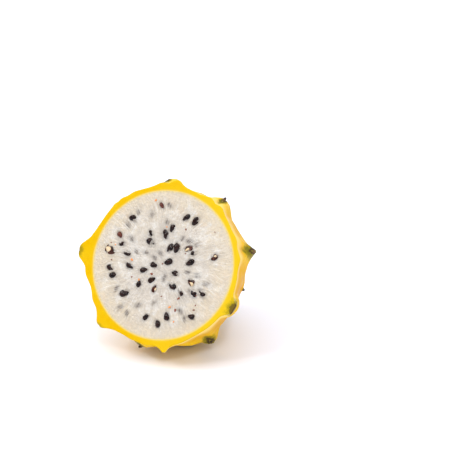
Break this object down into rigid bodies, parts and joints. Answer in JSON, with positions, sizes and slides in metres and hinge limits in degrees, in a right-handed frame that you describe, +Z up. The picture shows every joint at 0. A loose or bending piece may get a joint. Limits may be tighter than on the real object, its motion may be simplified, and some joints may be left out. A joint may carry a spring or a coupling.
{
  "type": "yellow dragon fruit half",
  "caption": "Half of a yellow dragon fruit, cut crosswise: a knobbly yellow rind round white pulp with black seeds, lying on its side.",
  "frame": {"origin": "centre of the bounding box on the surface that the half lies on", "axes": "+Z is up. -Y is the way the cut face looks, tipped up by 26.3 degrees, and +X is to the right as one looks at the face"},
  "size_m": [0.07, 0.0622, 0.0666],
  "materials": {
    "rind": "waxy yellow fruit skin with deeper orange hollows, green bracts and small brown spine stubs; its cut edge is smooth bright yellow",
    "flesh": "moist translucent white pulp, creamier to the rim, with small glossy black seeds"
  },
  "bodies": {
    "root": {"rind": "rind", "flesh": "flesh"}
  },
  "joints": []
}
